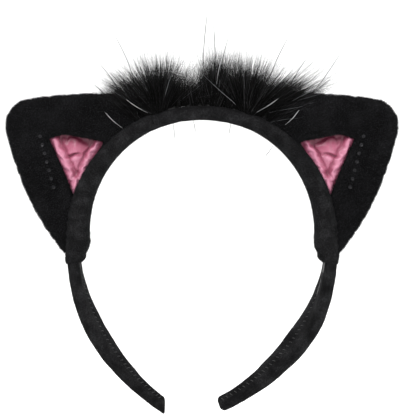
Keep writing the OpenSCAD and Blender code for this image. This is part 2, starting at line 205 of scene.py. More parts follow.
def pileMaterial(name, dark, light, patchScale, grainScale, bumpDepth, sheen):
    # brushed patches set the tone, fine grain gives the pile
    material, tree, shader = blankMaterial(name)
    patches = objectNoise(tree, patchScale, 4, 0.6, (-900, 250))
    grain = objectNoise(tree, grainScale, 3, 0.75, (-900, -150))
    both = shaderNode(tree, "ShaderNodeMath", (-650, 150), operation="MULTIPLY")
    tree.links.new(patches.outputs["Fac"], both.inputs[0])
    tree.links.new(grain.outputs["Fac"], both.inputs[1])
    tone = ramp(tree, both.outputs["Value"], [(0.16, dark), (0.27, mixed(dark, light, 0.3)), (0.40, light)], (-420, 200))
    tree.links.new(tone.outputs["Color"], shader.inputs["Base Color"])
    bump = shaderNode(tree, "ShaderNodeBump", (-300, -200), Strength=0.8, Distance=bumpDepth)
    tree.links.new(grain.outputs["Fac"], bump.inputs["Height"])
    tree.links.new(bump.outputs["Normal"], shader.inputs["Normal"])
    setInputs(shader, Roughness=0.95, Specular_IOR_Level=0.08, Sheen_Weight=sheen, Sheen_Roughness=0.35)
    shader.inputs["Sheen Tint"].default_value = (0.8, 0.82, 0.86, 1)
    return material


def satinMaterial():
    # the cloth's painted fold shading attribute sets its tone: painted shade in its creases and under the top edge,
    # painted highlight on its crests and edge folds
    material, tree, shader = blankMaterial("dustyPinkSatin")
    cloud = objectNoise(tree, 220, 3, 0.55, (-900, 350))
    fold = shaderNode(tree, "ShaderNodeAttribute", (-900, 150), attribute_name="paintedFoldShading")
    both = shaderNode(tree, "ShaderNodeMath", (-650, 250), operation="MULTIPLY_ADD")
    tree.links.new(cloud.outputs["Fac"], both.inputs[0])
    both.inputs[1].default_value = 0.35
    tree.links.new(fold.outputs["Fac"], both.inputs[2])
    # the ramp's low end is the painted shade colour and its high end the painted highlight colour
    tone = ramp(tree, both.outputs["Value"], [(0.12, (0.10, 0.011, 0.028)), (0.4, (0.205, 0.036, 0.072)),
                                              (0.62, (0.30, 0.072, 0.125)), (0.95, (0.46, 0.17, 0.25))], (-420, 250))
    tree.links.new(tone.outputs["Color"], shader.inputs["Base Color"])
    coords = shaderNode(tree, "ShaderNodeTexCoord", (-1400, -200))
    weave = shaderNode(tree, "ShaderNodeTexWave", (-900, -200), Scale=1500.0, Distortion=1.5, bands_direction="DIAGONAL")
    weave.inputs["Detail"].default_value = 2
    tree.links.new(coords.outputs["Object"], weave.inputs["Vector"])
    bump = shaderNode(tree, "ShaderNodeBump", (-300, -200), Strength=0.25, Distance=0.00006)
    tree.links.new(weave.outputs["Fac"], bump.inputs["Height"])
    tree.links.new(bump.outputs["Normal"], shader.inputs["Normal"])
    setInputs(shader, Roughness=0.36, Specular_IOR_Level=0.4, Anisotropic=0.5, Sheen_Weight=0.05,
              Coat_Weight=0.08, Coat_Roughness=0.3)
    return material


def furMaterial(name, stops, roughness, specular):
    # each hair carries its own tone in an attribute
    material, tree, shader = blankMaterial(name)
    shade = shaderNode(tree, "ShaderNodeAttribute", (-700, 100), attribute_name="hairTone")
    tone = ramp(tree, shade.outputs["Fac"], stops, (-450, 100))
    tree.links.new(tone.outputs["Color"], shader.inputs["Base Color"])
    setInputs(shader, Roughness=roughness, Specular_IOR_Level=specular)
    return material


def plainMaterial(name, dark, light, scale, roughness, metallic=0.0, bumpDepth=0.00005, specular=0.5):
    material, tree, shader = blankMaterial(name)
    grain = objectNoise(tree, scale, 3, 0.6, (-900, 0))
    tone = ramp(tree, grain.outputs["Fac"], [(0.3, dark), (0.7, light)], (-450, 100))
    tree.links.new(tone.outputs["Color"], shader.inputs["Base Color"])
    bump = shaderNode(tree, "ShaderNodeBump", (-300, -200), Strength=0.5, Distance=bumpDepth)
    tree.links.new(grain.outputs["Fac"], bump.inputs["Height"])
    tree.links.new(bump.outputs["Normal"], shader.inputs["Normal"])
    setInputs(shader, Roughness=roughness, Metallic=metallic, Specular_IOR_Level=specular)
    return material


bandVelvet = pileMaterial("bandVelvet", (0.002, 0.002, 0.0022), (0.019, 0.019, 0.020), 120, 1500, 0.00025, 0.012)
sleeveVelvet = pileMaterial("sleeveVelvet", (0.003, 0.003, 0.0032), (0.022, 0.022, 0.023), 140, 1400, 0.0003, 0.015)
earPlush = pileMaterial("earPlush", (0.0015, 0.0015, 0.0017), (0.010, 0.010, 0.011), 90, 1300, 0.0003, 0.01)
pinkSatin = satinMaterial()
blackUnderfur = furMaterial("blackUnderfur", [(0.0, (0.0015, 0.0015, 0.0015)), (1.0, (0.005, 0.005, 0.005))], 0.85, 0.04)
blackDown = furMaterial("blackDown", [(0.0, (0.0015, 0.0015, 0.0015)), (0.85, (0.006, 0.006, 0.006)),
                                      (1.0, (0.06, 0.06, 0.062))], 0.7, 0.08)
longStrand = furMaterial("longStrand", [(0.0, (0.004, 0.004, 0.004)), (0.84, (0.012, 0.012, 0.013)),
                                        (1.0, (0.25, 0.26, 0.27))], 0.5, 0.2)
silverHair = furMaterial("silverHair", [(0.0, (0.55, 0.56, 0.57)), (1.0, (0.75, 0.76, 0.78))], 0.35, 0.4)
plushPile = furMaterial("plushPile", [(0.0, (0.002, 0.002, 0.002)), (0.8, (0.012, 0.012, 0.013)),
                                      (1.0, (0.04, 0.04, 0.043))], 0.8, 0.08)
cottonTape = plainMaterial("cottonTape", (0.006, 0.006, 0.006), (0.02, 0.02, 0.02), 3000, 0.9)
blackThread = plainMaterial("blackThread", (0.008, 0.008, 0.008), (0.03, 0.03, 0.03), 4000, 0.7)
blackFelt = plainMaterial("blackFelt", (0.01, 0.01, 0.01), (0.035, 0.035, 0.035), 2500, 0.95, bumpDepth=0.0002)
paleFoam = plainMaterial("paleFoam", (0.62, 0.62, 0.58), (0.82, 0.82, 0.77), 1800, 0.9, bumpDepth=0.0002)
polyesterFill = plainMaterial("polyesterFill", (0.75, 0.75, 0.74), (0.9, 0.9, 0.88), 900, 0.95, bumpDepth=0.0003)
stripPlastic = plainMaterial("stripPlastic", (0.02, 0.02, 0.02), (0.05, 0.05, 0.05), 900, 0.5)
softWire = plainMaterial("softWire", (0.45, 0.45, 0.45), (0.62, 0.62, 0.62), 2500, 0.35, metallic=1.0)
sequinGloss = plainMaterial("sequinGloss", (0.003, 0.003, 0.004), (0.010, 0.010, 0.012), 1200, 0.38, specular=0.2)

nodeFinish = {
    "core": stripPlastic, "foam": paleFoam, "tip_tab": bandVelvet, "fur_tape": cottonTape,
    "tape_stitches": blackThread, "wire_ties": blackThread, "sleeve_stitches": blackThread,
    "ear_stuffing": polyesterFill, "ear_wire": softWire, "satin_backing": blackFelt, "sequins": sequinGloss,
}
for nodeName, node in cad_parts.items():
    finish = nodeFinish.get(nodeName.split("_", 1)[1])
    if finish:
        node.data.materials.clear()
        node.data.materials.append(finish)
print("materials ready")

def smooth(t):
    t = max(0.0, min(1.0, t))
    return t * t * (3 - 2 * t)


def makeObject(name, points, faces, material):
    mesh = bpy.data.meshes.new(name)
    mesh.from_pydata([tuple(p) for p in points], [], faces)
    obj = bpy.data.objects.new(name, mesh)
    scene.collection.objects.link(obj)
    mesh.materials.append(material)
    mesh.polygons.foreach_set("use_smooth", [True] * len(mesh.polygons))
    return obj


def tidyMesh(obj, weld=0.00001, sharpRims=()):
    # merged, turned outwards and smooth, apart from rims whose mean x is in sharpRims
    work = bmesh.new()
    work.from_mesh(obj.data)
    bmesh.ops.remove_doubles(work, verts=work.verts, dist=weld)
    bmesh.ops.dissolve_degenerate(work, dist=weld * 0.1, edges=work.edges)
    bmesh.ops.recalc_face_normals(work, faces=work.faces)
    for face in work.faces:
        face.smooth = True
        if len(face.verts) > 8 and sharpRims:
            for edge in face.edges:
                edge.smooth = not any(abs(v.co.x - x) < 0.0002 for v in edge.verts for x in sharpRims)
    work.to_mesh(obj.data)
    work.free()


def applyModifiers(obj):
    graph = bpy.context.evaluated_depsgraph_get()
    made = bpy.data.meshes.new_from_object(obj.evaluated_get(graph))
    obj.modifiers.clear()
    old = obj.data
    obj.data = made
    bpy.data.meshes.remove(old)


simulation = {"zoom": 12.0, "frames": 14}  # soft pieces are simulated this many times larger, for steady steps


def simulateCloth(obj, held, cap, pressure=0.0, shrink=0.0, bending=0.5, tension=15.0, frames=None):
    # relaxes a piece as cloth; held gives each vertex's pin weight and cap limits how far a vertex may move
    mesh = obj.data
    start = np.empty(len(mesh.vertices) * 3)
    mesh.vertices.foreach_get("co", start)
    mesh.vertices.foreach_set("co", start * simulation["zoom"])
    pins = obj.vertex_groups.new(name="pins")
    for index, weight in enumerate(held):
        if weight > 0:
            pins.add([index], float(weight), "REPLACE")
    cloth = obj.modifiers.new("relax", "CLOTH")
    settings = cloth.settings
    settings.quality = 6
    settings.mass = 0.15
    settings.tension_stiffness = tension
    settings.compression_stiffness = tension
    settings.shear_stiffness = tension / 3
    settings.bending_stiffness = bending
    settings.tension_damping = 8
    settings.bending_damping = 2
    settings.vertex_group_mass = "pins"
    settings.pin_stiffness = 40
    settings.shrink_min = shrink
    settings.effector_weights.gravity = 0
    settings.use_pressure = pressure > 0
    settings.uniform_pressure_force = pressure
    cloth.collision_settings.use_collision = False
    cloth.point_cache.frame_start = 1
    cloth.point_cache.frame_end = 40
    for frameNumber in range(1, (frames or simulation["frames"]) + 1):
        scene.frame_set(frameNumber)
    applyModifiers(obj)
    scene.frame_set(1)
    obj.vertex_groups.clear()
    mesh = obj.data
    after = np.empty(len(mesh.vertices) * 3)
    mesh.vertices.foreach_get("co", after)
    move = (after / simulation["zoom"] - start).reshape(-1, 3)
    length = np.linalg.norm(move, axis=1)
    move *= np.minimum(1, cap / np.maximum(length, 1e-9))[:, None]
    mesh.vertices.foreach_set("co", start + move.ravel())
    mesh.update()
    print(obj.name, "relaxed by at most %.2f mm" % (length.max() * 1000))


band = {
    "archRadius": 63.5,  # to the middle of the band
    "archDrop": 3.9,  # the arch's middle lies this far under the origin
    "seatRadius": 56.3,
    "width": 14.0,
    "thickness": 6.0,
    "corner": 2.4,
    "legRadius": {"left": 102.0, "right": 93.0},
    "legLength": {"left": 99.5, "right": 106.5},
    "twist": {"left": 24.0, "right": 33.0},
    "twistFrom": 10.0,
    "twistFullAt": 0.6,
    "taperFrom": 0.35,
    "tipWidth": 0.62,
    "tipThickness": 0.86,
    "ringPoints": 36,
    "step": 1.2,
    "legShift": {"left": (0.9, 0.0), "right": (1.2, -1.0)},  # outwards, above and below the middle of the leg
    "legFull": {"left": 0.04, "right": 0.13},  # extra girth at the middle of the leg
    "crownPad": 1.1,  # fullness on the inside between the sleeves
    "tipRound": {"left": 1.3, "right": 2.6},
    "tipCut": {"left": 1.0, "right": 0.0},  # 1 is a cut straight up and down
    "seamDepth": 0.35,
    "stitchSpacing": 2.6,
}
archLength = band["archRadius"] * math.pi / 2


def bandStation(side, s):
    # s runs along the band from the top of the arch: place, outward way, along way, twist, share of the leg
    sign = sideSign[side]
    if s <= archLength:
        turn = math.pi / 2 - s / band["archRadius"]
        out = Vector((math.cos(turn), 0, math.sin(turn)))
        place = out * band["archRadius"]
        below = 0.0
    else:
        legRadius = band["legRadius"][side]
        turn = (archLength - s) / legRadius
        out = Vector((math.cos(turn), 0, math.sin(turn)))
        place = Vector((band["archRadius"] - legRadius, 0, 0)) + out * legRadius
        below = s - archLength
    length = band["legLength"][side] - 2.5
    high, low = band["legShift"][side]
    place += out * (high + (low - high) * smooth((below / length - 0.25) / 0.5)) * smooth(below / 12)
    place.z -= band["archDrop"]
    twist = math.radians(band["twist"][side]) * smooth((below - band["twistFrom"]) /
                                                       (band["twistFullAt"] * length - band["twistFrom"]))
    along = Vector((out.z * sign, 0, -out.x))
    return Vector((place.x * sign, 0, place.z)), Vector((out.x * sign, 0, out.z)), along, twist, below / length


def stripRing(count, width, thickness, corner):
    # evenly spaced points round a rounded strip: x through the thickness, y across the width
    corner = min(corner, thickness / 2 - 0.02, width / 2 - 0.02)
    halfWide, halfThick = width / 2 - corner, thickness / 2 - corner
    corners = [(halfThick, halfWide, 0), (-halfThick, halfWide, 1), (-halfThick, -halfWide, 2), (halfThick, -halfWide, 3)]
    sides = [2 * halfThick, 2 * halfWide, 2 * halfThick, 2 * halfWide]
    arc = math.pi * corner / 2
    total = sum(sides) + 4 * arc
    ring = []
    for i in range(count):
        d = total * i / count
        for (cx, cy, quarter), nextSide in zip(corners, sides):
            if d < arc:
                turn = quarter * math.pi / 2 + d / corner
                ring.append((cx + corner * math.cos(turn), cy + corner * math.sin(turn)))
                break
            d -= arc
            if d < nextSide:
                turn = (quarter + 1) * math.pi / 2
                ring.append((cx + corner * math.cos(turn) - d * math.sin(turn),
                             cy + corner * math.sin(turn) + d * math.cos(turn)))
                break
            d -= nextSide
    return ring


def tubeFaces(rings, count):
    faces = []
    for i in range(rings - 1):
        for j in range(count):
            k = (j + 1) % count
            faces.append((i * count + j, i * count + k, (i + 1) * count + k, (i + 1) * count + j))
    faces.append(tuple(range(count - 1, -1, -1)))
    faces.append(tuple((rings - 1) * count + j for j in range(count)))
    return faces


def bandSize(side, share):
    full = 1 + band["legFull"][side] * math.sin(math.pi * max(0.0, min(1.0, share)))
    taper = smooth((share - band["taperFrom"]) / (1 - band["taperFrom"]))
    return (band["width"] * (1 + (band["tipWidth"] - 1) * taper) * full,
            band["thickness"] * (1 + (band["tipThickness"] - 1) * taper) * full)


def bandPoint(side, s, x, y):
    # a point of the band's section at s, with the end cut at its own slant
    place, out, along, twist, share = bandStation(side, s)
    across = Vector((0, 1, 0)) * math.cos(twist) - out * math.sin(twist)
    outward = out * math.cos(twist) + Vector((0, 1, 0)) * math.sin(twist)
    point = place + outward * x + across * y
    fromEnd = archLength + band["legLength"][side] - s
    cut = band["tipCut"][side] * smooth(1 - fromEnd / 9)
    return point - along * (cut * (point - place).x / along.x if cut else 0), outward, across


def makeBandHalf(side):
    length = archLength + band["legLength"][side]
    count = band["ringPoints"]
    tipRound = band["tipRound"][side]
    tipStart = length - tipRound
    steps = round(tipStart / band["step"])
    stops = [tipStart * i / steps for i in range(steps)]
    stops += [tipStart + tipRound * math.sin(math.pi / 2 * i / 7) for i in range(8)]
    points = []
    for s in stops:
        width, thickness = bandSize(side, bandStation(side, s)[4])
        shrink = 1.0
        if s > tipStart:
            inset = tipRound * (1 - math.sqrt(max(0.0, 1 - ((s - tipStart) / tipRound) ** 2)))
            shrink = max(0.1, 1 - inset / (thickness / 2 + 0.4))
        pad = band["crownPad"] * (1 - smooth((s - 26) / 8))
        for x, y in stripRing(count, width, thickness + pad, band["corner"]):
            x -= pad / 2
            sunk = band["seamDepth"] * math.exp(-(y / 0.7) ** 2) if x < -thickness / 2 + 0.1 else 0.0
            point, outward, across = bandPoint(side, s, (x + sunk) * shrink,
                                               y * (1 - (1 - shrink) * thickness / width))
            ripple = noise.noise(point * 0.15) * 0.22 + noise.noise(point * 0.5 + Vector((7, 3, 1))) * 0.13
            way = (outward * x * 2 + across * y * 0.8).normalized()
            points.append((point + way * ripple * shrink * smooth((s - 2) / 8)) * mm)
    obj = makeObject(side + "BandVelvet", points, tubeFaces(len(stops), count), bandVelvet)
    tidyMesh(obj, 0.000002, sharpRims=(0.0,))
    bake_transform(obj)
    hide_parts(side + "_velvet", side + "_tip_tab", "crown_velvet")


sleeve = {
    "topAngle": 68.0,
    "outer": 0.75,  # velvet outside the band
    "cuffLength": 11.0,
    "cuffInside": {"left": 2.3, "right": 2.8},
    "ringPoints": 48,
    "step": 0.8,
    "corner": 3.4,
    "gather": 0.45,
}


def seatGap(turn):
    # from the arch's middle to the seat's round face, at that angle above level
    drop = band["archDrop"]
    return drop * math.sin(turn) + math.sqrt(band["seatRadius"] ** 2 - (drop * math.cos(turn)) ** 2)


def makeSleeve(side):
    start = archLength - math.radians(sleeve["topAngle"]) * band["archRadius"]
    end = archLength + sleeve["cuffLength"]
    steps = round((end - start) / sleeve["step"])
    width = band["width"] + 2 * sleeve["outer"]
    points = []
    for i in range(steps + 1):
        s = start + (end - start) * i / steps
        place, out, along, twist, share = bandStation(side, s)
        turn = math.pi / 2 - min(s, archLength) / band["archRadius"]
        inside = band["archRadius"] - seatGap(turn)
        fade = smooth((s - archLength - 1) / (sleeve["cuffLength"] - 1))
        inside += (band["thickness"] / 2 + sleeve["cuffInside"][side] - inside) * fade
        outside = band["thickness"] / 2 + sleeve["outer"]
        middle = (outside - inside) / 2
        pinch = min(1.0, (i + 0.5) / 3.5, (steps - i + 0.5) / 3)
        pinch = math.sqrt(1 - (1 - pinch) ** 2)
        gather = sleeve["gather"] * (0.3 + 0.7 * smooth((s - archLength + 24) / 24))
        for x, y in stripRing(sleeve["ringPoints"], width, outside + inside, sleeve["corner"]):
            x += middle
            coreX, coreY = max(-3.0, min(3.0, x)), max(-7.0, min(7.0, y))
            x, y = coreX + (x - coreX) * pinch, coreY + (y - coreY) * pinch
            point = place + out * x + Vector((0, 1, 0)) * y
            folds = math.sin((s + y * 0.35) * 1.3 + noise.noise(point * 0.12) * 5) * 0.5
            folds += noise.noise(Vector((s * 0.4, y * 0.15, x * 0.15 + 9))) * 0.9
            away = (out * (x - middle) * 1.4 + Vector((0, 1, 0)) * y * 0.7).normalized()
            inner = 0.45 if x < -band["thickness"] / 2 and s < archLength else 1.0
            points.append((point + away * folds * gather * inner * pinch) * mm)
    obj = makeObject(side + "EarSleeve", points, tubeFaces(steps + 1, sleeve["ringPoints"]), sleeveVelvet)
    tidyMesh(obj, 0.000002)
    pile = grown(side + "SleevePile", pileTreeGroup, obj, dict(pileSizes, Length=0.0007, Density=5.0e6, Seed=9), plushPile)
    for piece in (obj, pile):
        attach(piece, side + "_side")
    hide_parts(side + "_ear_sleeve", side + "_sleeve_cuff")


ear = {
    "foldDistance": 68.0,
    "foldTilt": 65.0,
    "height": 45.5,
    "tipShift": 17.0,
    "tipWidth": 17.0,
    "tipDrop": 2.0,
    "tipBow": 3.0,
    "lowReach": 36.0,
    "highReach": 51.0,
    "sink": 10.7,
    "lowBow": 4.7,
    "highBow": 3.0,
    "halfThickness": 5.3,
    "edgeRound": 7.0,
    "baseRadius": 66.2,  # where the ear ends inside its sleeve, from the arch's middle
    "windowRound": 2.4,
    "gridStep": 1.35,
    "floor": -1.7,  # bottom of the window's recess
    "pressure": 0.7,
    "swell": 0.0011,
}
stuffing = {"inset": 3.0, "round": 5.0, "under": 0.9}
windowPoints = [(-7.0, -1.4), (8.0, -1.8), (23.2, -3.4), (21.9, 3.0), (18.6, 15.8), (13.6, 21.3), (3.5, 9.6)]


def bowed(start, end, height, count):
    # points on a shallow arc, standing proud on the left of the way from start to end
    start, end = Vector(start), Vector(end)
    chord = (end - start).length
    radius = (chord * chord / 4 + height * height) / (2 * height)
    half = math.asin(chord / 2 / radius)
    along = (end - start) / chord
    out = Vector((-along.y, along.x))
    middle = (start + end) / 2 + out * (height - radius)
    turns = [half * (2 * i / count - 1) for i in range(count)]
    return [middle + (along * math.sin(a) + out * math.cos(a)) * radius for a in turns]


def earPlace(side, u, v, w):
    # from the ear's own plane (along the fold, away from it, to the front) to metres
    tilt = math.radians(ear["foldTilt"])
    reach = ear["foldDistance"] + v
    x = reach * math.sin(tilt) - u * math.cos(tilt)
    z = u * math.sin(tilt) + reach * math.cos(tilt) - band["archDrop"]
    return Vector((sideSign[side] * x, -w, z)) * mm


def earOutline(steps):
    tip = (ear["tipShift"], ear["height"])
    low = (-ear["lowReach"], -ear["sink"])
    high = (ear["highReach"], -ear["sink"])
    tipLow = (tip[0] - ear["tipWidth"] / 2, tip[1] - ear["tipDrop"])
    tipHigh = (tip[0] + ear["tipWidth"] / 2, tip[1] - 2 * ear["tipDrop"])
    line = bowed(low, tipLow, ear["lowBow"], steps) + bowed(tipLow, tipHigh, ear["tipBow"], steps // 3)
    return line + bowed(tipHigh, high, ear["highBow"], steps) + [Vector(high)]


def resampled(line, step, closed=False):
    line = [Vector((p[0], p[1])) for p in line]
    if closed:
        line.append(line[0])
    spaced, carry = [], 0.0
    for a, b in zip(line, line[1:]):
        length = (b - a).length
        while carry < length:
            spaced.append(a + (b - a) * (carry / length))
            carry += step
        carry -= length
    return spaced


def sideways(line, i, closed=False):
    # unit vector on the right of the line's way at point i
    if closed:
        way = line[(i + 1) % len(line)] - line[i - 1]
    else:
        way = line[min(i + 1, len(line) - 1)] - line[max(i - 1, 0)]
    return Vector((way.y, -way.x)).normalized()


def segmentDistance(points, line, closed=False):
    line = np.asarray([(p[0], p[1]) for p in line], float)
    starts, ends = (line, np.roll(line, -1, axis=0)) if closed else (line[:-1], line[1:])
    best = np.full(len(points), 1e9)
    for a, b in zip(starts, ends):
        d = b - a
        t = np.clip(((points - a) @ d) / max(d @ d, 1e-9), 0, 1)
        best = np.minimum(best, np.linalg.norm(points - a - t[:, None] * d, axis=1))
    return best


def insidePolygon(points, line):
    inside = np.zeros(len(points), bool)
    for a, b in zip(line, list(line[1:]) + [line[0]]):
        crosses = (b[1] > points[:, 1]) != (a[1] > points[:, 1])
        rise = b[1] - a[1] if abs(b[1] - a[1]) > 1e-12 else 1e-12
        inside ^= crosses & (points[:, 0] < a[0] + (points[:, 1] - a[1]) / rise * (b[0] - a[0]))
    return inside


def triangulated(border, inner):
    coords = [Vector((p[0], p[1])) for p in border] + [Vector((p[0], p[1])) for p in inner]
    n = len(border)
    verts, _, faces, *_ = delaunay_2d_cdt(coords, [(i, (i + 1) % n) for i in range(n)], [list(range(n))], 1, 1e-5)
    return np.array([(p.x, p.y) for p in verts]), [tuple(f) for f in faces]


def thinned(points, near):
    # keeps the first of any points that lie closer together than near
    chosen, cells = [], {}
    for p in points:
        key = (int(p[0] // near), int(p[1] // near))
        around = [q for dx in (-1, 0, 1) for dy in (-1, 0, 1) for q in cells.get((key[0] + dx, key[1] + dy), ())]
        if all((q[0] - p[0]) ** 2 + (q[1] - p[1]) ** 2 >= near * near for q in around):
            cells.setdefault(key, []).append(p)
            chosen.append(p)
    return chosen


def noiseField(flat, scale, seed):
    return np.array([noise.noise(Vector((p[0] * scale, p[1] * scale, seed))) for p in flat])


def roundedEdge(t):
    return np.sqrt(1 - (1 - np.clip(t, 0, 1)) ** 2)


def earSurface():
    # both faces of the ear over the same triangles: flat places, triangles, front and back heights, pins
    rng = random.Random(11)
    outline = resampled(earOutline(36), 1.1) + [Vector((ear["highReach"], -ear["sink"]))]
    shaken = []
    for i, p in enumerate(outline):
        amount = noise.noise(Vector((i * 0.28, 2.2, 0))) * 0.4 + noise.noise(Vector((i * 0.9, 5.1, 0))) * 0.2 - 0.2
        shaken.append(p - sideways(outline, i) * amount)
    outline = shaken
    centre = Vector((0, -ear["foldDistance"]))
    a0, a1 = ((p - centre).angle_signed(Vector((1, 0))) for p in (outline[-1], outline[0]))
    count = round(abs(a1 - a0) * ear["baseRadius"] / 1.3)
    turns = [a0 + (a1 - a0) * i / count for i in range(count + 1)]
    base = [centre + Vector((math.cos(a), math.sin(a))) * ear["baseRadius"] for a in turns]
    seam = [base[-1]] + outline + [base[0]]
    border = outline + base
    extra = [outline[i] + sideways(outline, i) * inset for inset in (0.25, 0.7, 1.3, 2.1, 3.1, 4.3, 5.7)
             for i in range(len(outline))]
    windowLine = resampled(windowPoints, 0.9, closed=True)
    extra += [windowLine[i] + sideways(windowLine, i, True) * outset for outset in (-0.5, 0.0, 0.3, 0.8, 1.5, 2.4)
              for i in range(len(windowLine))]
    step = ear["gridStep"]
    for row in range(round(64 / (step * 0.87))):
        for column in range(round(98 / step)):
            extra.append(Vector((-42 + (column + row % 2 / 2) * step + rng.uniform(-0.25, 0.25),
                                 -14 + row * step * 0.87 + rng.uniform(-0.25, 0.25))))
    places = np.array([(p.x, p.y) for p in extra])
    keep = insidePolygon(places, border) & (segmentDistance(places, border, closed=True) > 0.2)
    flat, faces = triangulated(border, thinned(places[keep], 0.36))
    fromSeam = segmentDistance(flat, seam)
    rim = roundedEdge(fromSeam / ear["edgeRound"])
    inWindow = insidePolygon(flat, windowPoints)
    toWindow = np.where(inWindow, 0, segmentDistance(flat, windowPoints, closed=True))
    swell = ear["halfThickness"] - 0.5 + 0.5 * noiseField(flat, 0.07, 3) + 0.2 * noiseField(flat, 0.22, 8)
    front, back = rim * swell, -rim * swell
    front = ear["floor"] + (front - ear["floor"]) * roundedEdge(toWindow / ear["windowRound"])
    front = np.where(rim < 0.2, np.maximum(front, 0), front)
    fromBase = np.linalg.norm(flat - np.array([0, -ear["foldDistance"]]), axis=1) - ear["baseRadius"]
    pins = np.clip(1 - fromBase / 4.0, 0, 1)
    frontPins = np.maximum(pins, np.clip(1.25 - toWindow / 2.4, 0, 1))
    return flat, faces, front, back, frontPins, pins, np.minimum(fromSeam, fromBase)


def makeStuffing(side, surface):
    # a loose pad of fibre inside the ear, under the lining of the window
    flat, faces, front, back, frontPins, backPins, depth = surface
    inside = roundedEdge((depth - stuffing["inset"]) / stuffing["round"])
    middle = (front + back) / 2
    lumps = 0.25 * noiseField(flat, 0.3, 21)
    high = middle + np.maximum(front - stuffing["under"] + lumps - middle, 0.1) * inside
    low = middle + np.minimum(back + stuffing["under"] + lumps - middle, -0.1) * inside
    chosen = [f for f in faces if all(depth[i] > stuffing["inset"] for i in f)]
    renumbered = {old: new for new, old in enumerate(sorted({i for f in chosen for i in f}))}
    n = len(renumbered)
    points = [earPlace(side, *flat[i], high[i]) for i in renumbered] + [earPlace(side, *flat[i], low[i]) for i in renumbered]
    pad = [tuple(renumbered[i] for i in f) for f in chosen]
    uses = {}
    for f in pad:
        for a, b in zip(f, f[1:] + f[:1]):
            uses.setdefault((min(a, b), max(a, b)), []).append((a, b))
    walls = [(q, p, p + n, q + n) for ways in uses.values() if len(ways) == 1 for p, q in ways]
    obj = makeObject(side + "EarStuffing", points, pad + [tuple(i + n for i in reversed(f)) for f in pad] + walls,
                     polyesterFill)
    tidyMesh(obj, 0.000001)
    bendWithEar(obj)
    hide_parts(side + "_ear_stuffing")


def makeEar(side, surface):
    flat, faces, front, back, frontPins, backPins, depth = surface
    n = len(flat)
    points = [earPlace(side, u, v, w) for (u, v), w in zip(flat, front)]
    points += [earPlace(side, u, v, w) for (u, v), w in zip(flat, back)]
    allFaces = faces + [tuple(i + n for i in reversed(f)) for f in faces]
    uses = {}
    for f in faces:
        for a, b in zip(f, f[1:] + f[:1]):
            uses.setdefault((min(a, b), max(a, b)), []).append((a, b))
    onSeam = {}
    for (p, q), in (ways for ways in uses.values() if len(ways) == 1):
        for i in (p, q):
            if front[i] - back[i] < 0.02:
                onSeam[i + n] = i
        allFaces.append((q, p, p + n, q + n))
    pinned = list(frontPins) + list(backPins)
    spare = [i for i in range(2 * n) if i not in onSeam]
    renumbered = {old: new for new, old in enumerate(spare)}
    kept = []
    for f in allFaces:
        corners = [renumbered[onSeam.get(i, i)] for i in f]
        corners = [c for i, c in enumerate(corners) if c != corners[i - 1]]
        if len(set(corners)) > 2:
            kept.append(corners)
    obj = makeObject(side + "EarPlush", [points[i] for i in spare], kept, earPlush)
    pinned = [pinned[i] for i in spare]
    return obj, pinned


def bendWithEar(obj):
    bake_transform(obj)


def finishEar(side, obj):
    work = bmesh.new()
    work.from_mesh(obj.data)
    bmesh.ops.recalc_face_normals(work, faces=work.faces)
    work.to_mesh(obj.data)
    work.free()
    obj.data.polygons.foreach_set("use_smooth", [True] * len(obj.data.polygons))
    pile = grown(side + "EarPile", pileTreeGroup, obj, pileSizes, plushPile)
    for piece in (obj, pile):
        bendWithEar(piece)
    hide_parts(side + "_ear_front", side + "_ear_back", side + "_ear_base")


satin = {
    "grow": 1.7,
    "level": 1.5,
    "lowest": 0.4,  # just above the felt
    "gridStep": 0.6,
    "thickness": 0.25,
    "slack": 0.07,
}


def lineSide(points, a, b):
    # signed distance from the line through a and b, positive on its left
    d = np.array(b, float) - np.array(a, float)
    d /= np.linalg.norm(d)
    away = points - np.array(a, float)
    return d[0] * away[:, 1] - d[1] * away[:, 0]


def hump(distance, width):
    return np.exp(-(distance / width) ** 2)


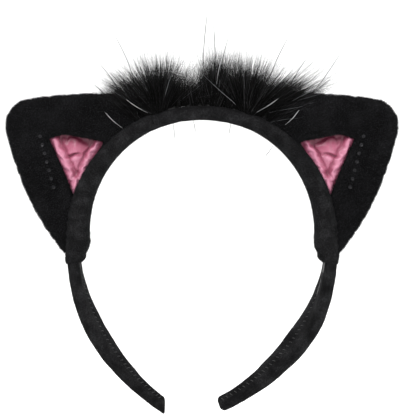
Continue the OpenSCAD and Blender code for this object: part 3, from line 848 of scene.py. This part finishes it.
def makeSatin(side):
    corners = [Vector(p) for p in windowPoints]
    middle = sum(corners, Vector((0, 0))) / len(corners)
    border = resampled([p + (p - middle).normalized() * satin["grow"] for p in corners], satin["gridStep"], True)
    step = satin["gridStep"]
    places = np.array([(-14 + (column + row % 2 / 2) * step, -8 + row * step * 0.87)
                       for row in range(round(38 / step)) for column in range(round(44 / step))])
    keep = insidePolygon(places, border) & (segmentDistance(places, border, closed=True) > step * 0.5)
    flat, faces = triangulated(border, places[keep])
    low, tip, shoulder, high = (-6.2, -1.6), (13.6, 21.3), (18.6, 15.8), (22.4, -2.6)
    outer, inner, top = -lineSide(flat, low, tip), lineSide(flat, low, high), -lineSide(flat, shoulder, high)
    wobble, crinkle = noiseField(flat, 0.16, 1.5), noiseField(flat, 0.45, 4.5)
    # a hemmed fold along each long edge, a puffed middle with one cross crease, and a shaded hollow at the top
    height = 1.4 * hump(outer - 2.2 - 0.3 * wobble, 1.7) - 0.7 * hump(outer - 5.0 - 0.5 * wobble, 1.0)
    height += 1.3 * hump(inner - 2.0 + 0.3 * wobble, 1.5) - 0.7 * hump(inner - 4.6 + 0.5 * wobble, 0.9)
    height += 1.3 * hump(outer - 8.5, 3.6) * hump(inner - 9.0, 4.6)
    cross = flat @ np.array([0.87, 0.5]) + wobble * 1.6 - 13.2
    height -= 1.6 * hump(cross, 0.65) * hump(outer - 7.6, 2.7)
    height += 1.1 * hump(cross + 1.7, 0.9) * hump(outer - 7.4, 2.8)
    height -= 1.2 * hump(top, 3.2)
    height += 0.25 * crinkle + 0.3 * wobble
    edge = np.clip(segmentDistance(flat, border, closed=True) / 2.2, 0, 1)
    # painted light in the satin's colour: crests lighter and creases darker, a painted shadow under the top edge,
    # painted highlights along both edge folds and painted shade in the cross crease
    paintedFoldShading = 0.42 + 0.2 * height - 0.42 * hump(top, 3.4) * np.clip((inner - 2.5) / 3, 0, 1)
    paintedFoldShading += 0.3 * (hump(outer - 1.9, 1.0) + hump(inner - 1.6, 0.9)) - 0.3 * hump(cross, 0.8) * hump(outer - 7.6, 3)
    height = height * edge - 0.9 * (1 - edge)
    points = [earPlace(side, u, v, satin["level"] + h) for (u, v), h in zip(flat, height)]
    obj = makeObject(side + "Satin", points, faces, pinkSatin)
    obj.data.attributes.new("paintedFoldShading", "FLOAT", "POINT").data.foreach_set("value", paintedFoldShading)
    held = np.clip(1.2 - segmentDistance(flat, border, closed=True) / 1.4, 0, 1)
    simulateCloth(obj, np.maximum(held, 0.02), 0.0009, shrink=-satin["slack"], bending=0.15, tension=8, frames=10)
    for vertex in obj.data.vertices:
        vertex.co.y = min(vertex.co.y, -satin["lowest"] * mm)
    if sum(f.normal.y * f.area for f in obj.data.polygons) > 0:
        obj.data.flip_normals()
    solid = obj.modifiers.new("clothThickness", "SOLIDIFY")
    solid.thickness = satin["thickness"] * mm
    solid.offset = -1
    applyModifiers(obj)
    obj.data.polygons.foreach_set("use_smooth", [True] * len(obj.data.polygons))
    bendWithEar(obj)
    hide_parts(side + "_satin")


def newTree(name, inputs):
    tree = bpy.data.node_groups.new(name, "GeometryNodeTree")
    tree.interface.new_socket("Geometry", in_out="INPUT", socket_type="NodeSocketGeometry")
    tree.interface.new_socket("Geometry", in_out="OUTPUT", socket_type="NodeSocketGeometry")
    kinds = {float: "NodeSocketFloat", int: "NodeSocketInt"}
    for label, value in inputs.items():
        socket = tree.interface.new_socket(label, in_out="INPUT", socket_type=kinds[type(value)])
        socket.default_value = value
    tree.interface.new_socket("Material", in_out="INPUT", socket_type="NodeSocketMaterial")
    return tree, tree.nodes.new("NodeGroupInput").outputs, tree.nodes.new("NodeGroupOutput").inputs


def geoNode(tree, kind, links=None, **values):
    node = tree.nodes.new(kind)
    for key, value in values.items():
        if hasattr(node, key):
            setattr(node, key, value)
        else:
            node.inputs[key].default_value = value
    for key, source in (links or {}).items():
        if isinstance(source, bpy.types.NodeSocket):
            tree.links.new(source, node.inputs[key])
        else:
            node.inputs[key].default_value = source
    return node


def mathNode(tree, operation, a, b):
    return geoNode(tree, "ShaderNodeMath", {0: a, 1: b}, operation=operation).outputs[0]


def vectorNode(tree, operation, a, b):
    return geoNode(tree, "ShaderNodeVectorMath", {0: a, "Scale" if operation == "SCALE" else 1: b},
                   operation=operation).outputs[0]


def randomFloat(tree, low, high, seed):
    node = tree.nodes.new("FunctionNodeRandomValue")
    node.data_type = "FLOAT"
    for socket in node.inputs:
        if socket.enabled and socket.name in ("Min", "Max"):
            value = low if socket.name == "Min" else high
            if isinstance(value, bpy.types.NodeSocket):
                tree.links.new(value, socket)
            else:
                socket.default_value = value
    node.inputs["Seed"].default_value = seed
    return next(o for o in node.outputs if o.enabled)


def randomVector(tree, low, high, seed):
    node = tree.nodes.new("FunctionNodeRandomValue")
    node.data_type = "FLOAT_VECTOR"
    node.inputs[0].default_value = (low,) * 3
    node.inputs[1].default_value = (high,) * 3
    node.inputs["Seed"].default_value = seed
    return node.outputs[0]


def stored(tree, geometry, name, value, kind="FLOAT"):
    return geoNode(tree, "GeometryNodeStoreNamedAttribute", {"Geometry": geometry, "Value": value},
                   data_type=kind, domain="INSTANCE", Name=name).outputs[0]


def named(tree, name, kind="FLOAT"):
    return geoNode(tree, "GeometryNodeInputNamedAttribute", data_type=kind, Name=name).outputs[0]


def finishTree(tree, geometry, given, result):
    real = geoNode(tree, "GeometryNodeRealizeInstances", {"Geometry": geometry})
    painted = geoNode(tree, "GeometryNodeSetMaterial", {"Geometry": real.outputs[0], "Material": given["Material"]})
    tree.links.new(painted.outputs[0], result[0])
    return tree


def pileTree():
    # short tapered hairs standing on a surface, with their own tone each
    tree, given, result = newTree("plushPileTree", {"Density": 1.0e6, "Length": 0.001, "Thickness": 0.0001,
                                                    "Lean": 0.5, "Seed": 1})
    points = geoNode(tree, "GeometryNodeDistributePointsOnFaces",
                     {"Mesh": given["Geometry"], "Density": given["Density"], "Seed": given["Seed"]})
    hair = geoNode(tree, "GeometryNodeMeshCone", {"Vertices": 3, "Radius Top": 0.0, "Radius Bottom": 1.0, "Depth": 1.0},
                   fill_type="NONE")
    lean = vectorNode(tree, "SCALE", randomVector(tree, -1, 1, 3), given["Lean"])
    way = vectorNode(tree, "ADD", points.outputs["Normal"], lean)
    turn = geoNode(tree, "FunctionNodeAlignRotationToVector", {"Vector": way}, axis="Z")
    tall = mathNode(tree, "MULTIPLY", randomFloat(tree, 0.4, 1.0, 5), given["Length"])
    scale = geoNode(tree, "ShaderNodeCombineXYZ", {"X": given["Thickness"], "Y": given["Thickness"], "Z": tall})
    placed = geoNode(tree, "GeometryNodeInstanceOnPoints",
                     {"Points": points.outputs["Points"], "Instance": hair.outputs["Mesh"],
                      "Rotation": turn.outputs[0], "Scale": scale.outputs[0]})
    toned = stored(tree, placed.outputs[0], "hairTone", randomFloat(tree, 0.0, 1.0, 9))
    return finishTree(tree, toned, given, result)


def furTree():
    # long soft hairs that run to the tips given on the root surface, curl a little and taper
    tree, given, result = newTree("looseFurTree", {
        "Density": 9.0e6, "Thickness": 0.0001, "Spread": 0.3, "Curl": 0.3, "Curl Scale": 120.0,
        "Shortest": 0.4, "Droop": 0.0, "Segments": 6, "Seed": 1})
    dense = mathNode(tree, "MULTIPLY", given["Density"], named(tree, "share"))
    points = geoNode(tree, "GeometryNodeDistributePointsOnFaces",
                     {"Mesh": given["Geometry"], "Density": dense, "Seed": given["Seed"]})
    line = geoNode(tree, "GeometryNodeCurvePrimitiveLine", {"End": (0, 0, 1)})
    hair = geoNode(tree, "GeometryNodeResampleCurve", {"Curve": line.outputs[0], "Count": given["Segments"]})
    shake = vectorNode(tree, "SCALE", randomVector(tree, -1, 1, 3), given["Spread"])
    shake = vectorNode(tree, "MULTIPLY", shake, (1.0, 0.4, 1.0))
    toTip = vectorNode(tree, "SUBTRACT", named(tree, "tip", "FLOAT_VECTOR"),
                       geoNode(tree, "GeometryNodeInputPosition").outputs[0])
    straight = geoNode(tree, "ShaderNodeVectorMath", {0: toTip}, operation="NORMALIZE").outputs["Vector"]
    reach = geoNode(tree, "ShaderNodeVectorMath", {0: toTip}, operation="LENGTH").outputs["Value"]
    way = vectorNode(tree, "ADD", straight, shake)
    turn = geoNode(tree, "FunctionNodeAlignRotationToVector", {"Vector": way}, axis="Z")
    tall = mathNode(tree, "MULTIPLY", randomFloat(tree, given["Shortest"], 1.0, 6), reach)
    placed = geoNode(tree, "GeometryNodeInstanceOnPoints",
                     {"Points": points.outputs["Points"], "Instance": hair.outputs[0], "Rotation": turn.outputs[0],
                      "Scale": geoNode(tree, "ShaderNodeCombineXYZ", {"X": tall, "Y": tall, "Z": tall}).outputs[0]})
    toned = stored(tree, placed.outputs[0], "hairTone", randomFloat(tree, 0.0, 1.0, 9))
    toned = stored(tree, toned, "hairLength", tall)
    toned = stored(tree, toned, "curlPhase", randomVector(tree, 0, 3, 12), "FLOAT_VECTOR")
    real = geoNode(tree, "GeometryNodeRealizeInstances", {"Geometry": toned})
    along = geoNode(tree, "GeometryNodeSplineParameter").outputs["Factor"]
    scaled = vectorNode(tree, "SCALE", geoNode(tree, "GeometryNodeInputPosition").outputs[0], given["Curl Scale"])
    wave = geoNode(tree, "ShaderNodeTexNoise",
                   {"Vector": vectorNode(tree, "ADD", scaled, named(tree, "curlPhase", "FLOAT_VECTOR")),
                    "Scale": 1.0, "Detail": 1.0})
    centred = vectorNode(tree, "SUBTRACT", wave.outputs["Color"], (0.5, 0.5, 0.5))
    grow = mathNode(tree, "MULTIPLY", mathNode(tree, "POWER", along, 1.4), named(tree, "hairLength"))
    moved = vectorNode(tree, "SCALE", centred, mathNode(tree, "MULTIPLY", grow, given["Curl"]))
    sag = mathNode(tree, "MULTIPLY", mathNode(tree, "MULTIPLY", grow, given["Droop"]), -1.0)
    down = geoNode(tree, "ShaderNodeCombineXYZ", {"Z": sag})
    bent = geoNode(tree, "GeometryNodeSetPosition",
                   {"Geometry": real.outputs[0], "Offset": vectorNode(tree, "ADD", moved, down.outputs[0])})
    taper = mathNode(tree, "SUBTRACT", 1.0, mathNode(tree, "MULTIPLY", along, 0.85))
    width = mathNode(tree, "MULTIPLY", taper, given["Thickness"])
    thick = geoNode(tree, "GeometryNodeSetCurveRadius", {"Curve": bent.outputs[0], "Radius": width})
    ring = geoNode(tree, "GeometryNodeCurvePrimitiveCircle", {"Resolution": 3, "Radius": 1.0})
    tube = geoNode(tree, "GeometryNodeCurveToMesh", {"Curve": thick.outputs[0], "Profile Curve": ring.outputs[0],
                                                     "Fill Caps": True})
    if "Scale" in tube.inputs:
        tree.links.new(width, tube.inputs["Scale"])
    return finishTree(tree, tube.outputs[0], given, result)


def pieceTree(name, instanceOf):
    # small parts set out on the host's points, turned by its "facing" and "along" attributes
    tree, given, result = newTree(name, {"Size": 0.001, "Thickness": 0.0002, "Tilt": 0.0, "Seed": 1})
    points = geoNode(tree, "GeometryNodeMeshToPoints", {"Mesh": given["Geometry"]})
    shake = vectorNode(tree, "SCALE", randomVector(tree, -1, 1, 3), given["Tilt"])
    facing = vectorNode(tree, "ADD", named(tree, "facing", "FLOAT_VECTOR"), shake)
    turn = geoNode(tree, "FunctionNodeAlignRotationToVector", {"Vector": facing}, axis="Z")
    turn = geoNode(tree, "FunctionNodeAlignRotationToVector",
                   {"Rotation": turn.outputs[0], "Vector": named(tree, "along", "FLOAT_VECTOR")},
                   axis="X", pivot_axis="Z")
    placed = geoNode(tree, "GeometryNodeInstanceOnPoints",
                     {"Points": points.outputs[0], "Instance": instanceOf(tree, given), "Rotation": turn.outputs[0]})
    toned = stored(tree, placed.outputs[0], "hairTone", randomFloat(tree, 0.0, 1.0, 9))
    return finishTree(tree, toned, given, result)


def stitchShape(tree, given):
    # a low arch of thread
    arch = geoNode(tree, "GeometryNodeCurveArc", {"Resolution": 7, "Radius": 0.5, "Start Angle": 0.25,
                                                  "Sweep Angle": math.pi - 0.5})
    flat = geoNode(tree, "GeometryNodeTransform", {"Geometry": arch.outputs[0], "Rotation": (math.pi / 2, 0, 0),
                                                   "Scale": (1, 1, 1)})
    sized = geoNode(tree, "GeometryNodeTransform", {
        "Geometry": flat.outputs[0],
        "Scale": geoNode(tree, "ShaderNodeCombineXYZ", {
            "X": given["Size"], "Y": given["Size"],
            "Z": mathNode(tree, "MULTIPLY", given["Size"], 0.45)}).outputs[0]})
    ring = geoNode(tree, "GeometryNodeCurvePrimitiveCircle", {"Resolution": 5, "Radius": given["Thickness"]})
    tube = geoNode(tree, "GeometryNodeCurveToMesh", {"Curve": sized.outputs[0], "Profile Curve": ring.outputs[0],
                                                     "Fill Caps": True})
    return tube.outputs[0]


def sequinShape(tree, given):
    # a shallow cup with a hole, made as an open cone
    section = geoNode(tree, "GeometryNodeCurvePrimitiveLine", {"Start": (0.22, 0, 0), "End": (1, 0, 0.22)})
    ring = geoNode(tree, "GeometryNodeCurvePrimitiveCircle", {"Resolution": 14, "Radius": 0.0001})
    cup = geoNode(tree, "GeometryNodeMeshCone", {"Vertices": 14, "Radius Top": 0.22, "Radius Bottom": 1.0,
                                                 "Depth": -0.24}, fill_type="NONE")
    sized = geoNode(tree, "GeometryNodeTransform", {
        "Geometry": cup.outputs[0],
        "Scale": geoNode(tree, "ShaderNodeCombineXYZ", {"X": given["Size"], "Y": given["Size"],
                                                        "Z": given["Size"]}).outputs[0]})
    return sized.outputs[0]


def grown(name, tree, host, values, material):
    # runs a tree on a copy of the host and leaves its result as a plain piece
    piece = bpy.data.objects.new(name, host.data.copy())
    scene.collection.objects.link(piece)
    modifier = piece.modifiers.new("grow", "NODES")
    modifier.node_group = tree
    for item in tree.interface.items_tree:
        if item.item_type == "SOCKET" and item.in_out == "INPUT":
            if item.name == "Material":
                modifier[item.identifier] = material
            elif item.name in values:
                modifier[item.identifier] = values[item.name]
    bpy.context.view_layer.update()
    applyModifiers(piece)
    print(name, len(piece.data.polygons), "faces")
    return piece


def pointHost(name, places, facings, alongs):
    mesh = bpy.data.meshes.new(name)
    mesh.from_pydata([tuple(p) for p in places], [], [])
    for label, ways in (("facing", facings), ("along", alongs)):
        layer = mesh.attributes.new(label, "FLOAT_VECTOR", "POINT")
        layer.data.foreach_set("vector", [c for way in ways for c in way])
    host = bpy.data.objects.new(name, mesh)
    scene.collection.objects.link(host)
    return host


pileSizes = {"Density": 7.5e6, "Length": 0.0012, "Thickness": 0.00009, "Lean": 0.6, "Seed": 4}
pileTreeGroup = pileTree()
furTreeGroup = furTree()
stitchTreeGroup = pieceTree("threadStitchTree", stitchShape)
sequinTreeGroup = pieceTree("sequinTree", sequinShape)

for side in sideSign:
    makeBandHalf(side)
    makeSleeve(side)
print("band and sleeves ready")

surface = earSurface()
relaxed = None
for side in sideSign:
    plush, pinned = makeEar(side, surface)
    if relaxed is None:
        simulateCloth(plush, pinned, ear["swell"], pressure=ear["pressure"], bending=2.0, tension=20)
        relaxed = plush
    else:
        for vertex, other in zip(plush.data.vertices, relaxed.data.vertices):
            vertex.co = (-other.co.x, other.co.y, other.co.z)
for side in sideSign:
    finishEar(side, bpy.data.objects[side + "EarPlush"])
    makeStuffing(side, surface)
    makeSatin(side)
print("ears ready")

sequins = {"count": 7, "first": (13.1, 25.8), "last": (-6.9, 9.5), "radius": 0.0009, "lift": 5.6, "tilt": 0.3}


def makeSequins(side):
    places = []
    for i in range(sequins["count"]):
        t = i / (sequins["count"] - 1)
        u, v = ((1 - t) * a + t * b for a, b in zip(sequins["first"], sequins["last"]))
        places.append(earPlace(side, u, v, sequins["lift"]))
    host = pointHost(side + "SequinPoints", places, [(0, -1, 0)] * len(places), [(1, 0, 0)] * len(places))
    piece = grown(side + "Sequins", sequinTreeGroup, host,
                  {"Size": sequins["radius"], "Tilt": sequins["tilt"], "Seed": 5}, sequinGloss)
    bpy.data.objects.remove(host)
    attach(piece, side + "_ear")
    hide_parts(side + "_sequins")


def makeStitches(side):
    # whip stitches closing the sleeve at the back, and the band's own seam down the inside of the leg
    sleeveSpots, legSpots = [], []
    for i in range(26):
        turn = math.radians(4 + 56 * i / 25)
        out = Vector((math.cos(turn) * sideSign[side], 0, math.sin(turn)))
        place = out * (band["archRadius"] - 0.6) + Vector((0, 7.95, -band["archDrop"]))
        sleeveSpots.append((place, Vector((0, 1, 0)), (out + Vector((-out.z, 0, out.x)) * 0.5 * sideSign[side])))
    s = archLength + sleeve["cuffLength"] + 1.5
    while s < archLength + band["legLength"][side] - 3:
        width, thickness = bandSize(side, bandStation(side, s)[4])
        point, outward, across = bandPoint(side, s, -thickness / 2 + band["seamDepth"] * 0.6, 0)
        along = bandStation(side, s)[2]
        legSpots.append((point, -outward, across + along * 0.45))
        s += band["stitchSpacing"]
    for name, spots, size, replaced in (("SleeveStitches", sleeveSpots, 0.0026, [side + "_sleeve_stitches"]),
                                        ("BandSeam", legSpots, 0.0019, [])):
        host = pointHost(side + name + "Points", [s[0] * mm for s in spots], [s[1] for s in spots],
                         [s[2] for s in spots])
        piece = grown(side + name, stitchTreeGroup, host, {"Size": size, "Thickness": 0.00016, "Tilt": 0.08, "Seed": 2},
                      blackThread)
        bpy.data.objects.remove(host)
        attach(piece, side + "_side")
        if replaced:
            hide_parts(*replaced)


for side in sideSign:
    makeSequins(side)
    makeStitches(side)
print("sequins and stitches ready")

# Tufts: x is the middle of the root, rx and ry its half sizes, dome its height, lean its sideways tilt,
# fan how far the hairs spread sideways, up their rise, reach how far they end from the root's middle,
# share how many there are, and lift sets a root on the ear's corner, above the band
tufts = {
    "left": [
        {"x": -22.0, "rx": 7.0, "ry": 5.5, "dome": 6.5, "lean": -0.24, "fan": 1.6, "up": 0.1, "reach": 33.4, "share": 1.0},
        {"x": -10.5, "rx": 4.0, "ry": 5.0, "dome": 2.0, "lean": 0.1, "fan": 0.7, "up": 0.6, "reach": 25.0, "share": 0.2},
        {"x": -31.0, "rx": 5.5, "ry": 5.0, "dome": 6.0, "lean": -0.9, "fan": 0.9, "up": 0.3, "reach": 27.0, "share": 0.3},
        {"x": -33.0, "rx": 5.0, "ry": 3.5, "dome": 3.0, "lift": 9.0, "lean": -1.5, "fan": 0.8, "up": 0.35, "reach": 27.0,
         "share": 0.2},
    ],
    "crown": [
        {"x": 6.5, "rx": 4.6, "ry": 5.0, "dome": 3.0, "lean": 0.06, "fan": 0.4, "up": 0.9, "reach": 31.0, "share": 1.0},
        {"x": -4.0, "rx": 4.0, "ry": 5.0, "dome": 2.0, "lean": 0.0, "fan": 0.5, "up": 0.7, "reach": 24.0, "share": 0.3},
        {"x": 1.0, "rx": 2.2, "ry": 5.0, "dome": 1.5, "lean": 0.0, "fan": 0.4, "up": 0.8, "reach": 22.0, "share": 0.35},
    ],
    "right": [
        {"x": 23.0, "rx": 7.0, "ry": 5.5, "dome": 6.5, "lean": 0.2, "fan": 1.6, "up": 0.1, "reach": 33.8, "share": 1.0},
        {"x": 13.0, "rx": 3.5, "ry": 5.0, "dome": 2.0, "lean": -0.02, "fan": 0.4, "up": 0.7, "reach": 32.5, "share": 0.3},
        {"x": 31.0, "rx": 6.0, "ry": 5.0, "dome": 6.0, "lean": 0.9, "fan": 0.9, "up": 0.3, "reach": 29.0, "share": 0.35},
        {"x": 36.0, "rx": 6.5, "ry": 3.5, "dome": 3.0, "lift": 9.5, "lean": 2.1, "fan": 0.5, "up": 0.4, "reach": 38.0,
         "share": 0.35},
    ],
}


def bandTop(x):
    return math.sqrt((band["archRadius"] + band["thickness"] / 2) ** 2 - x * x) - band["archDrop"]


def tuftRoots(name, rows, reachShare):
    # low domes over the band's top; each face holds the tip that its bundle of hairs runs to, and their share
    rng = random.Random(17)
    points, faces, tips, shares = [], [], [], []
    rings, around = 9, 24

    def domeWay(ring, step):
        lift, turn = math.pi / 2 * ring / rings, 2 * math.pi * step / around
        return Vector((math.cos(turn) * math.cos(lift), math.sin(turn) * math.cos(lift), math.sin(lift)))

    def domePlace(row, way):
        x = row["x"] + way.x * row["rx"]
        return Vector((x, way.y * row["ry"], bandTop(x) - 0.6 + row.get("lift", 0.0) + way.z * row["dome"]))

    for row in rows:
        base = len(points)
        points += [domePlace(row, domeWay(i, j)) * mm for i in range(rings + 1) for j in range(around)]
        for i in range(rings):
            for j in range(around):
                k = (j + 1) % around
                faces.append((base + i * around + j, base + i * around + k,
                              base + (i + 1) * around + k, base + (i + 1) * around + j))
                way = domeWay(i + 0.5, j + 0.5)
                rise = max(way.z, 0.8 * abs(way.y))
                fan = row["fan"] * (0.5 if way.x * row["x"] < 0 and row["share"] > 0.5 else 1.0)
                flow = Vector((row["lean"] + way.x * fan, way.y * 0.24, row["up"] + rise)).normalized()
                clump = Vector((rng.uniform(-0.2, 0.2), rng.uniform(-0.08, 0.08), rng.uniform(-0.15, 0.15)))
                rooted = math.hypot(way.x * row["rx"], way.z * row["dome"])
                reach = (row["reach"] - rooted) * rng.uniform(0.7, 1.1) * reachShare
                tips.append((domePlace(row, way) + (flow + clump).normalized() * reach) * mm)
                shares.append(row["share"])
    obj = makeObject(name, points, faces, blackDown)
    obj.data.attributes.new("tip", "FLOAT_VECTOR", "FACE").data.foreach_set("vector", [c for t in tips for c in t])
    obj.data.attributes.new("share", "FLOAT", "FACE").data.foreach_set("value", shares)
    return obj


furBody = {"left": "left_side", "crown": "crown", "right": "right_side"}
furLayers = {
    "Underfur": (0.55, blackUnderfur, {"Density": 16.0e6, "Thickness": 0.00015, "Spread": 0.25, "Curl": 0.3,
                                       "Curl Scale": 200.0, "Shortest": 0.5, "Droop": 0.04, "Segments": 4}),
    "Down": (1.0, blackDown, {"Density": 14.2e6, "Thickness": 0.000085, "Spread": 0.14, "Curl": 0.25,
                              "Curl Scale": 90.0, "Shortest": 0.5, "Droop": 0.03, "Segments": 6}),
    "Strands": (1.15, longStrand, {"Density": 0.9e6, "Thickness": 0.0001, "Spread": 0.34, "Curl": 0.18,
                                   "Curl Scale": 60.0, "Shortest": 0.7, "Droop": 0.03, "Segments": 8}),
}
for number, (place, rows) in enumerate(tufts.items()):
    for layer, (reachShare, material, sizes) in furLayers.items():
        roots = tuftRoots(place + "Roots", rows, reachShare)
        fur = grown(place + layer, furTreeGroup, roots, dict(sizes, Seed=21 + number), material)
        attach(fur, furBody[place])
        if layer == "Down":
            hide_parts(place + "_fur")
        bpy.data.objects.remove(roots)

# Single long hairs: x and z of the root, x and z of the tip, how far forward it stands, bow to one side
strays = {
    "crown": {
        "longStrand": [(0.8, 61, 3.0, 110.5, 3, 1.2), (3.0, 62, 5.6, 104.3, -2, -2.0), (8.0, 62, 13.6, 97.8, 2, 1.5),
                       (-5.2, 57.5, -3.2, 49, -2, 0.4)],
        "silverHair": [(7.2, 73, 9.9, 86.5, -6, 0.3)],
    },
    "left_side": {
        "longStrand": [(-31, 60, -43.6, 98.2, 2, -2.5), (-37, 59, -51.2, 84.3, -3, -2.0), (-33, 60, -54, 73.5, 3, 1.5),
                       (-14.6, 57, -13.7, 45.4, -2, 0.3)],
        "silverHair": [(-38.6, 51.6, -47.4, 59.8, -8, 0.5), (-26.5, 59.2, -37.2, 66, -8, 0.4), (-30, 61, -40.5, 73, -4, 0.8)],
    },
    "right_side": {
        "longStrand": [(30, 61, 43.6, 97.8, 2, 2.0), (38, 58, 51.2, 85.3, -3, 1.5), (44, 56, 69.2, 89.3, 3, -1.0),
                       (31, 61, 66, 77.5, 4, -3.0), (33, 60, 63, 75, -3, -2.5), (34, 59, 60, 72, 1, -1.5),
                       (15.2, 57, 13.5, 48.4, -2, -0.3), (36, 44.5, 30.8, 37, -2, 0.3)],
        "silverHair": [(40.6, 53.2, 47.6, 60.8, -8, -0.5), (26.6, 59.4, 37.6, 66.4, -8, -0.4), (24, 61, 33.5, 67.5, -5, -0.6)],
    },
}
strayHair = {"points": 12, "thickness": {"longStrand": 0.21, "silverHair": 0.13}}


def makeStrays(body, look, hairs):
    points, faces = [], []
    for x0, z0, x1, z1, forward, bow in hairs:
        base = len(points)
        root, tip = Vector((x0, -2 if forward > -6 else -8.2, z0)), Vector((x1, forward if forward > -6 else -9.2, z1))
        side = Vector((-(tip - root).z, 0, (tip - root).x)).normalized()
        for i in range(strayHair["points"]):
            t = i / (strayHair["points"] - 1)
            middle = root + (tip - root) * t + side * bow * math.sin(math.pi * t)
            radius = strayHair["thickness"][look] * (0.25 + 0.75 * smooth(1.3 * t)) * (1.02 - t ** 8)
            for turn in (0, 2 * math.pi / 3, 4 * math.pi / 3):
                points.append((middle + side * radius * math.cos(turn) + Vector((0, radius * math.sin(turn), 0))) * mm)
        faces += [tuple(base + k for k in f) for f in tubeFaces(strayHair["points"], 3)]
    piece = makeObject(body.replace("_side", "") + look[0].upper() + look[1:] + "s", points, faces,
                       {"longStrand": longStrand, "silverHair": silverHair}[look])
    tidyMesh(piece, 0.0000001)
    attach(piece, body)


for body, looks in strays.items():
    for look, hairs in looks.items():
        makeStrays(body, look, hairs)
print("fur ready")
